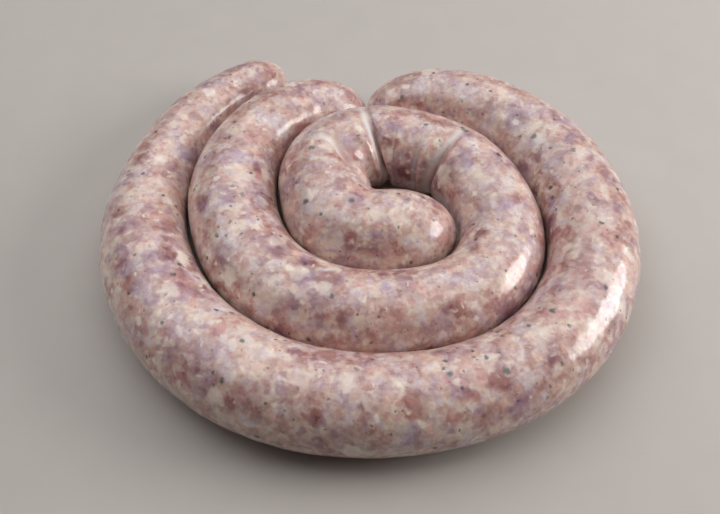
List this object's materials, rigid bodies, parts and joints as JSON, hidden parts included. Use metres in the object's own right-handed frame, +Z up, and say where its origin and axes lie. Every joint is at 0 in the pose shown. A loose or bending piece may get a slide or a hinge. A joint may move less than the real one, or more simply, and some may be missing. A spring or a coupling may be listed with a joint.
{
  "type": "coiled sausage links",
  "caption": "Raw fresh sausage in a thin casing, wound flat into a spiral coil, with a twisted neck between links and puckered creases on the tight inner bend.",
  "frame": {"origin": "under the middle of the coil, on the surface it lies on", "axes": "+Z up, through the coil's thickness; +X along its longest side; +Y towards its back, where the twisted neck lies"},
  "size_m": [0.194, 0.183, 0.0311],
  "materials": {
    "sausage": null
  },
  "bodies": {
    "root": {"sausage": "sausage"}
  },
  "joints": []
}
